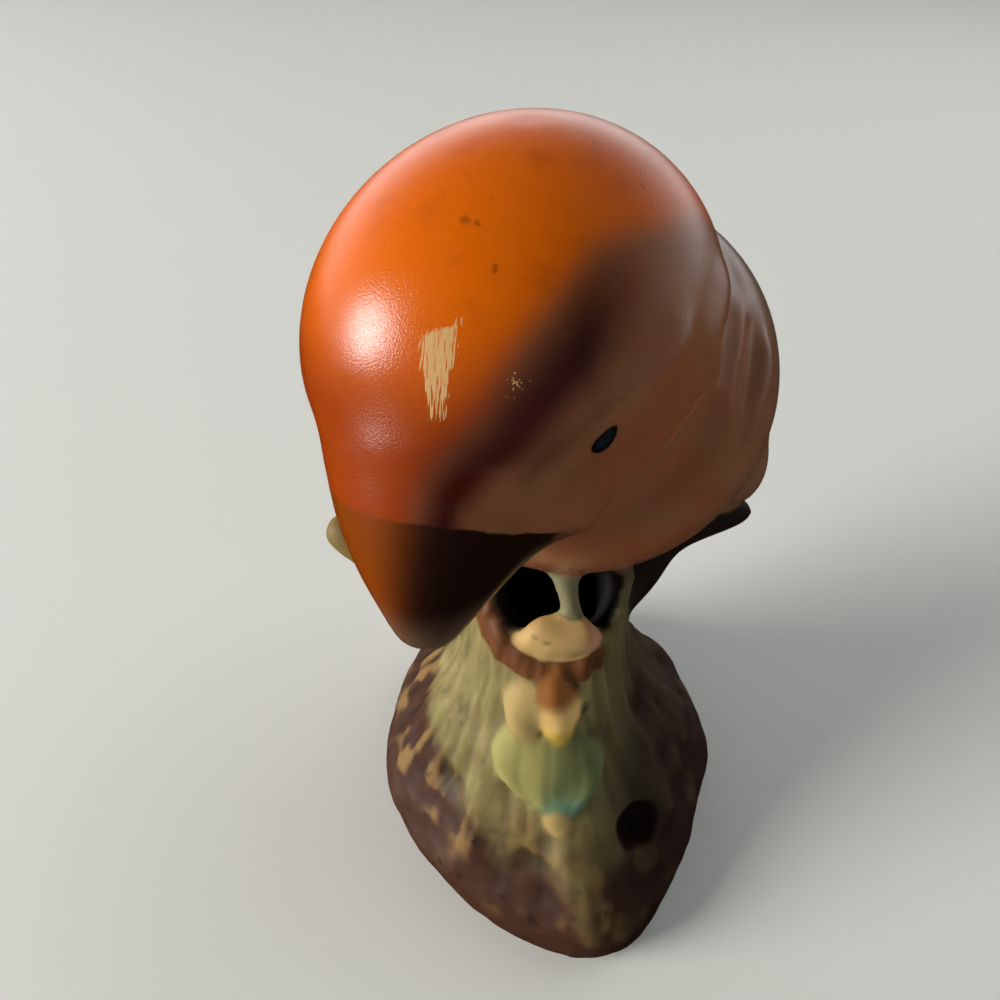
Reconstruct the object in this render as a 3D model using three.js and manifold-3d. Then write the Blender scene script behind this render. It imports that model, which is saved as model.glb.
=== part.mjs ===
// A glazed ceramic figurine: a parrot perched on a hollow tree stump that flares into a rocky base.
// It is cast in one piece, so it is one solid. Millimetres, +Z up, the bird facing -Y.
// The origin is on the underside, at the middle of the round part of the base.

import * as THREE from 'three';
import { mergeVertices } from 'three/addons/utils/BufferGeometryUtils.js';
import Module from 'manifold-3d';

// Driving sizes of the whole figure
const MOUTH_HEIGHT = 97.5; // of the middle of the stump's mouth above the ground
const BIRD_HEIGHT = 98.4; // from the middle of the mouth up to the crown
const BASE_RADIUS = 52.5; // of the round part of the base
const PROW_REACH = 12; // how much further the base runs at its pointed front
const BASE_EDGE_HEIGHT = 14; // of the rounded edge around the base
const UNDERCUT = 2.2; // how far the edge draws in where it meets the ground

// The hollow in the stump
const MOUTH_WIDTH = 26; // clear width of the hollow
const RIM_WALL = 5.8; // thickness of the wall around the mouth
const HOLLOW_DEPTH = 34; // from the middle of the mouth down to the floor of the hollow
const MOUTH_TILT = 42; // degrees that the mouth leans forward from level
const MOUTH_FORWARD = 8; // of the middle of the mouth in front of the origin
const MOUTH_ASIDE = -1; // of the middle of the mouth to the side
const BACK_WALL = 7; // how much thicker the stump is behind the hollow, where it carries the bird

// Widest places of the forms on the stump
const BRANCH_WIDTH_LEFT = 19;
const BRANCH_WIDTH_RIGHT = 15;
const BUD_WIDTH = 10;
const LEAF_WIDTH = 13;
const LEAF_THICKNESS = 5.4;
const FRONT_ROOT_WIDTH = 11;
const HOLE_WIDTH = 13; // of the hole under a root
const DIMPLE_WIDTH = 13;
const STONE_WIDTH = 9;

// The bird's main masses at their widest
const SKULL_WIDTH = 63;
const SKULL_LENGTH = 71.5; // from the forehead to the nape
const BEAK_WIDTH = 34; // where its dark glaze begins
const BODY_RADIUS = 38.5; // across the breast
const WING_WIDTH = 46;
const WING_THICKNESS = 20;
const TAIL_WIDTH = 42;
const TAIL_THICKNESS = 34;
const LEG_WIDTH = 5.4;
const TOE_WIDTH = 6.8;
const SHORTEST_EDGE = 0.6; // of the faceted surface

const UP = new THREE.Vector3(0, 0, 1);

// The mouth's own frame: its middle, the way it faces, and the way down along its rim
const tilt = THREE.MathUtils.degToRad(MOUTH_TILT);
const mouthMiddle = new THREE.Vector3(MOUTH_ASIDE, -MOUTH_FORWARD, MOUTH_HEIGHT);
const mouthFacing = new THREE.Vector3(0, -Math.sin(tilt), Math.cos(tilt));
const mouthDown = new THREE.Vector3(0, -Math.cos(tilt), -Math.sin(tilt));

// Places on the bird are shares of its height from the mouth that it perches on, and places in the
// stump are shares of the stump's height from the origin.
const onBird = (x, y, z) => new THREE.Vector3(x, y, z).multiplyScalar(BIRD_HEIGHT).add(mouthMiddle);
const inStump = (x, y, z) => new THREE.Vector3(x, y, z).multiplyScalar(MOUTH_HEIGHT);
const sizesOf = (width, shares) => shares.map((share) => (share * width) / 2);

const wasm = await Module();
wasm.setup();

// A closed geometry as a solid that can be joined and cut
function solidOf(geometry) {
  const bare = geometry.clone();
  bare.deleteAttribute('normal');
  bare.deleteAttribute('uv');
  const merged = mergeVertices(bare, 1e-4);
  return new wasm.Manifold(new wasm.Mesh({
    numProp: 3,
    vertProperties: new Float32Array(merged.attributes.position.array),
    triVerts: new Uint32Array(merged.index.array),
  }));
}

// Joins and cuts leave very short edges where two surfaces cross. Each edge shorter than SHORTEST_EDGE
// is closed up to a point, wherever that leaves the surface whole.
function closeShortEdges(corners, triangles) {
  const faces = triangles.map((face) => [...face]);
  const facesAt = corners.map(() => new Set());
  faces.forEach((face, i) => face.forEach((corner) => facesAt[corner].add(i)));
  const neighboursOf = (corner) => {
    const around = new Set([...facesAt[corner]].flatMap((i) => faces[i]));
    around.delete(corner);
    return around;
  };
  const facing = (a, b, c) => {
    const face = new THREE.Triangle(corners[a], corners[b], corners[c]);
    return face.getNormal(new THREE.Vector3());
  };
  const staysTrue = (kept, dropped) => [...facesAt[dropped]].every((i) => {
    const face = faces[i];
    if (face.includes(kept)) {
      return true;
    }
    const moved = face.map((c) => (c === dropped ? kept : c));
    return facing(...moved).dot(facing(...face)) > 0.3;
  });
  let closed = true;
  while (closed) {
    closed = false;
    for (let kept = 0; kept < corners.length; kept += 1) {
      for (const dropped of neighboursOf(kept)) {
        if (corners[kept].distanceTo(corners[dropped]) < SHORTEST_EDGE) {
          const around = neighboursOf(dropped);
          const shared = [...neighboursOf(kept)].filter((c) => around.has(c));
          if (shared.length === 2 && staysTrue(kept, dropped)) {
            for (const i of facesAt[dropped]) {
              if (faces[i].includes(kept)) {
                faces[i].forEach((c) => c !== dropped && facesAt[c].delete(i));
                faces[i] = null;
              } else {
                faces[i] = faces[i].map((c) => (c === dropped ? kept : c));
                facesAt[kept].add(i);
              }
            }
            facesAt[dropped] = new Set();
            closed = true;
            break;
          }
        }
      }
    }
  }
  return faces.filter((face) => face !== null);
}

// The solid's surface as a geometry again
function geometryOf(solid) {
  const mesh = solid.getMesh();
  const corners = [];
  for (let i = 0; i < mesh.vertProperties.length; i += 3) {
    corners.push(new THREE.Vector3().fromArray(mesh.vertProperties, i));
  }
  const triangles = [];
  for (let i = 0; i < mesh.triVerts.length; i += 3) {
    triangles.push([...mesh.triVerts.slice(i, i + 3)]);
  }
  const kept = closeShortEdges(corners, triangles).flat();
  const flat = new THREE.BufferGeometry().setFromPoints(kept.map((corner) => corners[corner]));
  const geometry = mergeVertices(flat, 1e-3);
  geometry.computeVertexNormals();
  return geometry;
}

function moveVertices(geometry, move) {
  const position = geometry.attributes.position;
  const point = new THREE.Vector3();
  for (let i = 0; i < position.count; i += 1) {
    point.fromBufferAttribute(position, i);
    move(point);
    position.setXYZ(i, point.x, point.y, point.z);
  }
  return geometry;
}

// A smooth value along a row of evenly spaced ones, for a share from 0 to 1
function along(values, share) {
  const place = share * (values.length - 1);
  const first = Math.min(Math.floor(place), values.length - 2);
  const pick = (i) => values[THREE.MathUtils.clamp(i, 0, values.length - 1)];
  const t = place - first;
  const [a, b, c, d] = [pick(first - 1), pick(first), pick(first + 1), pick(first + 2)];
  return b + 0.5 * t * (c - a + t * (2 * a - 5 * b + 4 * c - d + t * (3 * (b - c) + d - a)));
}

// A round form swollen along a curve. Its half widths and half depths are rows of values along it;
// bluntness 1 gives it the ends of an egg, and less gives it fuller ends.
function formAlong({ points, widths, depths, bluntness = 1, sides = 16, rings = 12, side = UP }) {
  const curve = new THREE.CatmullRomCurve3(points, false, 'catmullrom', 0.5);
  const across = new THREE.Vector3();
  const outward = new THREE.Vector3();
  return moveVertices(new THREE.SphereGeometry(1, sides, rings), (point) => {
    const share = (1 - THREE.MathUtils.clamp(point.y, -1, 1)) / 2;
    const ring = Math.hypot(point.x, point.z);
    const fullness = ring > 1e-6 ? ring ** (bluntness - 1) : 0;
    const heading = curve.getTangent(share);
    across.crossVectors(side, heading).normalize();
    outward.crossVectors(heading, across);
    const wide = point.x * fullness * along(widths, share);
    const deep = point.z * fullness * along(depths, share);
    point.copy(curve.getPoint(share)).addScaledVector(across, wide).addScaledVector(outward, deep);
  });
}

const smooth = (from, to, value) => THREE.MathUtils.smoothstep(value, from, to);
const bell = (distance, spread) => Math.exp(-((distance / spread) ** 2));
const turnBetween = (a, b) => THREE.MathUtils.euclideanModulo(a - b + 180, 360) - 180;

// The stump and its base

// Angles of the roots around the stump, with how far each one stands out
const ROOTS = [
  { angle: -160, lift: 2.2 }, { angle: -121, lift: 2.0 }, { angle: -79, lift: 3.4 },
  { angle: -43, lift: 3.2 }, { angle: -6, lift: 2.8 }, { angle: 32, lift: 2.4 },
  { angle: 68, lift: 2.2 }, { angle: 104, lift: 2.6 }, { angle: 142, lift: 2.4 },
];
const ROOT_SPREAD = 13; // degrees
const ROOT_SINK = 1.6; // how far the surface between two roots draws in
const PROW_ANGLE = -74;
const PROW_SPREAD_LEFT = 36;
const PROW_SPREAD_RIGHT = 23;
const NECK_ASIDE = 1.2; // how far the stump's neck leans to the side of its mouth
const NECK_FORWARD = 3.4; // how far it leans forward
const STUMP_TOP = MOUTH_HEIGHT * 1.1; // cut back by the mouth

// Radius of the stump at a row of heights. Above the base's edge, each pair holds a share of the way up
// and the share of the flare that is left there.
const rimRadius = MOUTH_WIDTH / 2 + RIM_WALL;
const FLARE = [
  [0, 0.947], [0.06, 0.837], [0.14, 0.709], [0.21, 0.602], [0.3, 0.46], [0.39, 0.356],
  [0.47, 0.226], [0.56, 0.13], [0.65, 0.065], [0.75, 0.024], [0.83, 0], [1, 0],
];
const STUMP_PROFILE = [
  [0, BASE_RADIUS - UNDERCUT],
  [BASE_EDGE_HEIGHT * 0.2, BASE_RADIUS - UNDERCUT * 0.2],
  [BASE_EDGE_HEIGHT * 0.57, BASE_RADIUS],
  ...FLARE.map(([up, flare]) => [
    BASE_EDGE_HEIGHT + (STUMP_TOP - BASE_EDGE_HEIGHT) * up,
    rimRadius + (BASE_RADIUS - rimRadius) * flare,
  ]),
];

function radiusAt(height) {
  const next = STUMP_PROFILE.findIndex(([top]) => top > height);
  const [[low, lowRadius], [high, highRadius]] = STUMP_PROFILE.slice(next - 1, next + 1);
  return THREE.MathUtils.mapLinear(height, low, high, lowRadius, highRadius);
}

function prowAt(angle) {
  const off = turnBetween(angle, PROW_ANGLE);
  return PROW_REACH * bell(off, off < 0 ? PROW_SPREAD_LEFT : PROW_SPREAD_RIGHT);
}

function rootsAt(angle) {
  const lifts = ROOTS.map((root) => root.lift * bell(turnBetween(angle, root.angle), ROOT_SPREAD));
  return lifts.reduce((sum, lift) => sum + lift, -ROOT_SINK);
}

// A point at an angle around the stump, with the base's prow, the roots and the neck's lean
function stumpPoint(angle, height, radius) {
  const turn = THREE.MathUtils.degToRad(angle);
  const up = height / MOUTH_HEIGHT;
  const rising = smooth(BASE_EDGE_HEIGHT, MOUTH_HEIGHT * 0.64, height);
  const prow = prowAt(angle) * (1 - smooth(0.04, 0.47, up));
  const roots = rootsAt(angle) * smooth(0.02, 0.12, up) * (1 - smooth(0.41, 0.74, up));
  const reach = radius + prow + roots;
  const behind = Math.max(0, Math.sin(turn)) ** 2;
  const x = Math.cos(turn) * reach + (MOUTH_ASIDE - NECK_ASIDE) * rising;
  const y = Math.sin(turn) * reach + (BACK_WALL * behind - NECK_FORWARD) * rising;
  return new THREE.Vector3(x, y, height);
}

// A place on the stump's surface, at an angle around it and a share of the way up to the mouth
function onBark(angle, up, out = 0) {
  const height = MOUTH_HEIGHT * up;
  return stumpPoint(angle, height, radiusAt(height) + out);
}

// A place on the mouth's rim, at an angle around the mouth from its lowest point
function onRim(angle, radius, out = 0) {
  const turn = THREE.MathUtils.degToRad(angle);
  return mouthMiddle.clone()
    .addScaledVector(mouthDown, Math.cos(turn) * radius)
    .add(new THREE.Vector3(Math.sin(turn) * radius, 0, 0))
    .addScaledVector(mouthFacing, out);
}

function stump() {
  const ringStep = 4.5;
  const corners = STUMP_PROFILE.map(([height, radius]) => new THREE.Vector2(radius, height));
  const path = new THREE.SplineCurve(corners);
  const rings = path.getSpacedPoints(Math.round(path.getLength() / ringStep));
  rings[0].y = 0;
  const profile = [new THREE.Vector2(0, 0), ...rings, new THREE.Vector2(0, STUMP_TOP)];
  return moveVertices(new THREE.LatheGeometry(profile, 60).rotateX(Math.PI / 2), (point) => {
    const radius = Math.hypot(point.x, point.y);
    if (radius > 1e-6) {
      const angle = THREE.MathUtils.radToDeg(Math.atan2(point.y, point.x));
      point.copy(stumpPoint(angle, point.z, radius));
    }
  });
}

// A block that takes off everything in front of and above the mouth
function mouthBlock() {
  const size = MOUTH_HEIGHT * 0.8;
  const block = new THREE.BoxGeometry(size, size, size);
  block.translate(0, 0, size / 2);
  block.rotateX(tilt);
  block.translate(mouthMiddle.x, mouthMiddle.y, mouthMiddle.z);
  return block;
}

// The hollow itself, a round pocket that turns from the mouth's direction to straight down
function hollow() {
  const half = MOUTH_WIDTH / 2;
  const above = mouthMiddle.clone().addScaledVector(mouthFacing, half * 1.2);
  const inside = mouthMiddle.clone().addScaledVector(mouthFacing, -half * 0.75);
  const floor = new THREE.Vector3(MOUTH_ASIDE, -MOUTH_FORWARD * 0.2, MOUTH_HEIGHT - HOLLOW_DEPTH);
  const sizes = sizesOf(MOUTH_WIDTH, [1, 1, 0.97, 0.92, 0.8]);
  return formAlong({
    points: [above, mouthMiddle, inside, floor],
    widths: sizes,
    depths: sizes,
    bluntness: 0.35,
    sides: 24,
    rings: 14,
    side: new THREE.Vector3(1, 0, 0),
  });
}

// The two broken branches that fork from the stump beside the bird
const BRANCHES = [
  {
    points: [
      inStump(0.08, 0.02, 0.674), inStump(0.2, 0.06, 0.872), inStump(0.28, 0.08, 1.02),
      inStump(0.467, 0.084, 1.108),
    ],
    sizes: sizesOf(BRANCH_WIDTH_RIGHT, [1, 0.93, 0.8, 0.72, 0.67]),
  },
  {
    points: [inStump(-0.1, 0.02, 0.633), inStump(-0.336, 0.06, 0.878), inStump(-0.582, 0.082, 1.05)],
    sizes: sizesOf(BRANCH_WIDTH_LEFT, [1, 0.95, 0.84, 0.78, 0.71]),
  },
];

function branch({ points, sizes }) {
  const side = new THREE.Vector3(0, 1, 0);
  return formAlong({ points, widths: sizes, depths: sizes, bluntness: 0.45, sides: 14, rings: 12, side });
}

function ball(middle, width, x, y, z) {
  const half = width / 2;
  return new THREE.SphereGeometry(half, 14, 10).scale(x, y, z).translate(middle.x, middle.y, middle.z);
}

// A deep hole under a root at the right of the front, and two dimples in the rock
function holes() {
  return [
    ball(onBark(-57, 0.29, -1.5), HOLE_WIDTH, 1, 1, 1.1),
    ball(onBark(-139, 0.35, 2), DIMPLE_WIDTH, 1, 0.8, 0.7),
    ball(onBark(-100, 0.28, 2.5), DIMPLE_WIDTH, 1, 0.7, 0.7),
  ];
}

function stone() {
  return ball(onBark(-57, 0.175, -4), STONE_WIDTH, 1.2, 0.9, 0.8);
}

// The ridge of the root that runs out to the point of the base
function frontRoot() {
  return formAlong({
    points: [onBark(-86, 0.4, -2.5), onBark(-84, 0.26, -3.2), onBark(-81, 0.14, -4.4), onBark(-79, 0.07, -5)],
    widths: sizesOf(FRONT_ROOT_WIDTH, [0.6, 0.92, 1, 1, 0.72]),
    depths: sizesOf(FRONT_ROOT_WIDTH, [0.8, 1, 1.1, 1.1, 0.8]),
    sides: 12,
    rings: 10,
  });
}

// Leaves and buds

// A small flat form that lies on the front of the stump, from its stalk to its tip
function leaf({ points, width, shares, thickness }) {
  return formAlong({
    points,
    widths: sizesOf(width, shares),
    depths: sizesOf(thickness, shares.map(() => 1)),
    bluntness: 0.8,
    sides: 12,
    rings: 10,
  });
}

// A pair of long buds over three broad leaves that meet in a point, with a small bud below them
function foliage() {
  const budShape = { width: BUD_WIDTH, shares: [0.52, 0.9, 1, 0.82, 0.44], thickness: BUD_WIDTH * 0.68 };
  const leafShape = { width: LEAF_WIDTH, shares: [0.5, 0.92, 1, 0.8, 0.34], thickness: LEAF_THICKNESS };
  const smallWidth = BUD_WIDTH * 0.7;
  const smallShape = { width: smallWidth, shares: [0.46, 0.9, 1, 0.84, 0.4], thickness: BUD_WIDTH * 0.52 };
  return [
    leaf({ points: [onBark(-107, 0.835), onBark(-108, 0.728, 0.4), onBark(-102, 0.613)], ...budShape }),
    leaf({ points: [onBark(-93, 0.877), onBark(-85, 0.752, 0.6), onBark(-87, 0.63)], ...budShape }),
    leaf({ points: [onBark(-107, 0.7), onBark(-107, 0.55, -0.4), onBark(-97, 0.42, -0.4)], ...leafShape }),
    leaf({ points: [onBark(-75, 0.66), onBark(-75, 0.53, -0.4), onBark(-85, 0.41)], ...leafShape }),
    leaf({ points: [onBark(-90, 0.66), onBark(-91, 0.54, 0.4), onBark(-91, 0.405)], ...leafShape }),
    leaf({ points: [onBark(-89, 0.428), onBark(-88, 0.397, 0.3), onBark(-87, 0.364)], ...smallShape }),
  ];
}

// The bird

// The skull, an egg that is turned to one side with the head
function skull() {
  const towardsNape = new THREE.Vector3(0.74, 0.58, 0.22).normalize();
  const level = new THREE.Vector3().crossVectors(UP, towardsNape).normalize();
  const top = new THREE.Vector3().crossVectors(towardsNape, level);
  const turn = new THREE.Matrix4().makeBasis(towardsNape, level, top);
  turn.setPosition(onBird(-0.113, 0.03, 0.679));
  const shape = new THREE.SphereGeometry(SKULL_WIDTH / 2, 36, 24);
  return shape.scale(SKULL_LENGTH / SKULL_WIDTH, 1, 1).applyMatrix4(turn);
}

// The beak, a blunt cone that carries the line of the forehead on and droops to its tip
function beak() {
  const sizes = sizesOf(BEAK_WIDTH, [1.18, 1.47, 1.05, 0.69, 0.39]);
  return formAlong({
    points: [onBird(-0.162, -0.07, 0.607), onBird(-0.232, -0.232, 0.502), onBird(-0.258, -0.401, 0.381)],
    widths: sizes,
    depths: sizes,
    bluntness: 0.5,
    sides: 24,
    rings: 16,
  });
}

// The breast, belly and rump, an egg that leans back
function body() {
  return formAlong({
    points: [
      onBird(-0.026, 0.041, 0.672), onBird(0.018, 0.161, 0.523), onBird(0.034, 0.346, 0.18),
      onBird(0.042, 0.496, -0.085),
    ],
    widths: sizesOf(BODY_RADIUS * 2, [0.9, 1, 1.04, 0.92, 0.6]),
    depths: sizesOf(BODY_RADIUS * 2, [0.8, 0.95, 0.98, 0.86, 0.55]),
    bluntness: 0.8,
    sides: 34,
    rings: 22,
  });
}

// The tail, which comes down behind the stump and rests against it
function tail() {
  return formAlong({
    points: [
      onBird(0.046, 0.3, 0.364), onBird(0.05, 0.454, -0.035), onBird(0.042, 0.444, -0.334),
      onBird(0.03, 0.416, -0.592),
    ],
    widths: sizesOf(TAIL_WIDTH, [0.81, 1, 0.9, 0.76, 0.57]),
    depths: sizesOf(TAIL_THICKNESS, [0.82, 1, 0.84, 0.6, 0.36]),
    bluntness: 0.6,
    sides: 20,
    rings: 14,
  });
}

// A folded wing on each side of the body
function wing(sideways) {
  const beside = (x, y, z) => onBird(0.034 + sideways * x, y, z);
  return formAlong({
    points: [
      beside(0.259, 0.081, 0.543), beside(0.295, 0.271, 0.304), beside(0.199, 0.49, 0.005),
      beside(0.08, 0.539, -0.294),
    ],
    widths: sizesOf(WING_WIDTH, [0.78, 1, 0.92, 0.65, 0.35]),
    depths: sizesOf(WING_THICKNESS, [0.8, 1, 0.9, 0.7, 0.4]),
    bluntness: 0.9,
    sides: 22,
    rings: 18,
    side: new THREE.Vector3(sideways, 0.35, 0.2).normalize(),
  });
}

// The leg that shows in the mouth of the hollow, and the toes that grip its rim
const TOE_ANGLES = [-34, -14, 6, 25];

function legAndToes() {
  const ankle = onRim(26, MOUTH_WIDTH * 0.335);
  const legSizes = sizesOf(LEG_WIDTH, [1.5, 1.1, 1]);
  const leg = formAlong({
    points: [onBird(-0.014, 0.021, 0.182), onBird(0.01, -0.02, 0.061), ankle],
    widths: legSizes,
    depths: legSizes,
    bluntness: 0.4,
    sides: 12,
    rings: 8,
    side: new THREE.Vector3(1, 0, 0),
  });
  const toes = TOE_ANGLES.map((angle) => {
    const tip = onRim(angle, MOUTH_WIDTH / 2 + RIM_WALL * 0.42, TOE_WIDTH * 0.08);
    const knuckle = ankle.clone().lerp(tip, 0.6).addScaledVector(UP, TOE_WIDTH * 0.35);
    const sizes = sizesOf(TOE_WIDTH, [0.8, 1, 1, 0.7]);
    const points = [ankle, knuckle, tip];
    return formAlong({ points, widths: sizes, depths: sizes, bluntness: 0.5, sides: 10, rings: 8 });
  });
  return [leg, ...toes];
}

// Everything joined as the one casting
function parrotFigurine() {
  const openStump = solidOf(stump())
    .subtract(solidOf(mouthBlock()))
    .subtract(solidOf(hollow()));
  const added = [
    ...BRANCHES.map(branch), frontRoot(), stone(), ...foliage(),
    skull(), beak(), body(), tail(), wing(1), wing(-1), ...legAndToes(),
  ];
  let figure = openStump;
  for (const form of added) {
    figure = figure.add(solidOf(form));
  }
  for (const hole of holes()) {
    figure = figure.subtract(solidOf(hole));
  }
  return figure;
}

const glaze = new THREE.MeshStandardMaterial({ color: 0xb4571c, roughness: 0.34, metalness: 0 });

const group = new THREE.Group();
const figurine = new THREE.Mesh(geometryOf(parrotFigurine()), glaze);
figurine.name = 'parrot_figurine';
group.add(figurine);

export default group;
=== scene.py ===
"""The look of a glazed ceramic figurine: a parrot on a hollow stump with a rocky base.

The casting is one piece. Its forms are modelled finely from the same sizes as the solid, fused into one
skin, softened where they meet, given their relief, and painted by masks kept on the mesh.
"""
import math

import bmesh
import bpy
import numpy as np
from mathutils import Matrix, Vector, noise
from mathutils.kdtree import KDTree


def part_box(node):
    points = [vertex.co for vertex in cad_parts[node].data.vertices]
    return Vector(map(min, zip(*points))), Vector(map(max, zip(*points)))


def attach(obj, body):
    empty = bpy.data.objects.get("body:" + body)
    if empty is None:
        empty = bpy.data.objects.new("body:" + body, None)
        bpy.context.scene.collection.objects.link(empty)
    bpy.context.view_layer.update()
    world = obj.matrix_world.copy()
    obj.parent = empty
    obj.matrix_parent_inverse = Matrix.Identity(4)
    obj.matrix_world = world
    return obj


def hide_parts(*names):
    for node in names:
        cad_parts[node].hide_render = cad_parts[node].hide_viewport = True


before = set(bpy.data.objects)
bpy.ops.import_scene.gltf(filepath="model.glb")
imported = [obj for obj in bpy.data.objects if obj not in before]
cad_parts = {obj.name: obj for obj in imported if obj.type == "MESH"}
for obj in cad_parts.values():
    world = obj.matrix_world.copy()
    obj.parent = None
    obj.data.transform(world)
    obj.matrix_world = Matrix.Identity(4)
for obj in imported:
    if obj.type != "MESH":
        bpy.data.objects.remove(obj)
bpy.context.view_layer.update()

MM = 0.001
NODE = "parrot_figurine"
LOW, HIGH = (np.array(corner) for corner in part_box(NODE))

# Sizes of the casting
MOUTH_HEIGHT = 97.5 * MM
BIRD_HEIGHT = 98.4 * MM
BASE_RADIUS = 52.5 * MM
PROW_REACH = 12 * MM
BASE_EDGE_HEIGHT = 14 * MM
UNDERCUT = 2.2 * MM
MOUTH_WIDTH = 26 * MM
RIM_WALL = 5.8 * MM
HOLLOW_DEPTH = 34 * MM
MOUTH_TILT = math.radians(42)
MOUTH_FORWARD = 8 * MM
MOUTH_ASIDE = -1 * MM
BACK_WALL = 7 * MM
NECK_ASIDE = 1.2 * MM
NECK_FORWARD = 3.4 * MM
BRANCH_WIDTH_LEFT = 19 * MM
BRANCH_WIDTH_RIGHT = 15 * MM
BUD_WIDTH = 10 * MM
LEAF_WIDTH = 13 * MM
LEAF_THICKNESS = 5.4 * MM
FRONT_ROOT_WIDTH = 11 * MM
HOLE_WIDTH = 13 * MM
DIMPLE_WIDTH = 13 * MM
STONE_WIDTH = 9 * MM
SKULL_WIDTH = 63 * MM
SKULL_LENGTH = 71.5 * MM
BEAK_WIDTH = 34 * MM
BODY_RADIUS = 38.5 * MM
WING_WIDTH = 46 * MM
WING_THICKNESS = 20 * MM
TAIL_WIDTH = 42 * MM
TAIL_THICKNESS = 34 * MM
LEG_WIDTH = 5.4 * MM
TOE_WIDTH = 6.8 * MM

SKIN_STEP = 1.02 * MM  # size of the fused skin's faces
UP = Vector((0, 0, 1))
RIGHTWARDS = Vector((1, 0, 0))
MOUTH_MIDDLE = Vector((MOUTH_ASIDE, -MOUTH_FORWARD, MOUTH_HEIGHT))
MOUTH_FACING = Vector((0, -math.sin(MOUTH_TILT), math.cos(MOUTH_TILT)))
MOUTH_DOWN = Vector((0, -math.cos(MOUTH_TILT), -math.sin(MOUTH_TILT)))


def on_bird(x, y, z):
    return MOUTH_MIDDLE + Vector((x, y, z)) * BIRD_HEIGHT


def in_stump(x, y, z):
    return Vector((x, y, z)) * MOUTH_HEIGHT


def sizes_of(width, shares):
    return [share * width / 2 for share in shares]


def in_mm(*values):
    return np.array(values) * MM


def smooth(low, high, value):
    t = np.clip((value - low) / (high - low), 0, 1)
    return t * t * (3 - 2 * t)


def bell(distance, spread):
    return np.exp(-((distance / spread) ** 2))


# Forms swollen along a curve

def between(a, b, c, d, t):
    """The smooth way from b to c, at a share t of it, where a lies before and d after."""
    return b + 0.5 * t * (c - a + t * (2 * a - 5 * b + 4 * c - d + t * (3 * (b - c) + d - a)))


def along(values, shares):
    """A smooth value along a row of evenly spaced ones."""
    values = np.asarray(values, float)
    place = np.asarray(shares) * (len(values) - 1)
    first = np.minimum(np.floor(place).astype(int), len(values) - 2)
    t = place - first
    a, b, c, d = (values[np.clip(first + step, 0, len(values) - 1)] for step in (-1, 0, 1, 2))
    return between(a, b, c, d, t)


def curve_through(points, shares):
    """Points on the smooth curve through the given ones, whose ends run straight on."""
    points = np.array([tuple(p) for p in points])
    ends = np.vstack([2 * points[0] - points[1], points, 2 * points[-1] - points[-2]])
    place = np.asarray(shares) * (len(points) - 1)
    first = np.minimum(np.floor(place).astype(int), len(points) - 2)
    t = (place - first)[:, None]
    a, b, c, d = (ends[first + step] for step in range(4))
    return between(a, b, c, d, t)


def directions_along(points, shares, side):
    """The directions along, across and out of a curve at the given shares of it."""
    step = 1e-4
    ahead = curve_through(points, np.minimum(shares + step, 1))
    heading = ahead - curve_through(points, np.maximum(shares - step, 0))
    heading /= np.linalg.norm(heading, axis=1)[:, None]
    across = np.cross(np.tile(tuple(side), (len(heading), 1)), heading)
    across /= np.linalg.norm(across, axis=1)[:, None]
    return heading, across, np.cross(heading, across)


def sphere_grid(sides, rings):
    """Unit sphere: poles along Y, as vertices and faces."""
    polar = np.pi * np.arange(1, rings) / rings
    turn = 2 * np.pi * np.arange(sides) / sides
    ring_points = [
        np.column_stack([-np.cos(turn) * np.sin(p), np.full(sides, np.cos(p)), np.sin(turn) * np.sin(p)])
        for p in polar
    ]
    points = np.vstack([[[0, 1, 0]], *ring_points, [[0, -1, 0]]])
    last = len(points) - 1
    faces = []
    for side in range(sides):
        after = (side + 1) % sides
        faces.append((0, 1 + side, 1 + after))
        for ring in range(rings - 2):
            start = 1 + ring * sides
            faces.append((start + side, start + sides + side, start + sides + after, start + after))
        start = 1 + (rings - 2) * sides
        faces.append((last, start + after, start + side))
    return points, faces


def form_along(points, widths, depths, bluntness=1.0, side=UP, sides=64, rings=64):
    """A round form swollen along a curve, with half widths and half depths as rows of values along it."""
    unit, faces = sphere_grid(sides, rings)
    shares = (1 - np.clip(unit[:, 1], -1, 1)) / 2
    ring = np.hypot(unit[:, 0], unit[:, 2])
    fullness = np.where(ring > 1e-6, np.maximum(ring, 1e-6) ** (bluntness - 1), 0)
    _, across, outward = directions_along(points, shares, side)
    wide = (unit[:, 0] * fullness * along(widths, shares))[:, None]
    deep = (unit[:, 2] * fullness * along(depths, shares))[:, None]
    return curve_through(points, shares) + across * wide + outward * deep, faces


# The stump and its base

# Angles of the roots around the stump, with how many millimetres each one stands out
ROOTS = [
    (-160, 2.2), (-121, 2.0), (-79, 3.4), (-43, 3.2), (-6, 2.8),
    (32, 2.4), (68, 2.2), (104, 2.6), (142, 2.4),
]
ROOT_SPREAD = 13
ROOT_SINK = 1.6 * MM
PROW_ANGLE, PROW_SPREAD_LEFT, PROW_SPREAD_RIGHT = -74, 36, 23
STUMP_TOP = MOUTH_HEIGHT * 1.1
RIM_RADIUS = MOUTH_WIDTH / 2 + RIM_WALL
NECK_HEIGHT = STUMP_TOP - BASE_EDGE_HEIGHT
FLARE_WIDTH = BASE_RADIUS - RIM_RADIUS
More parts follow.
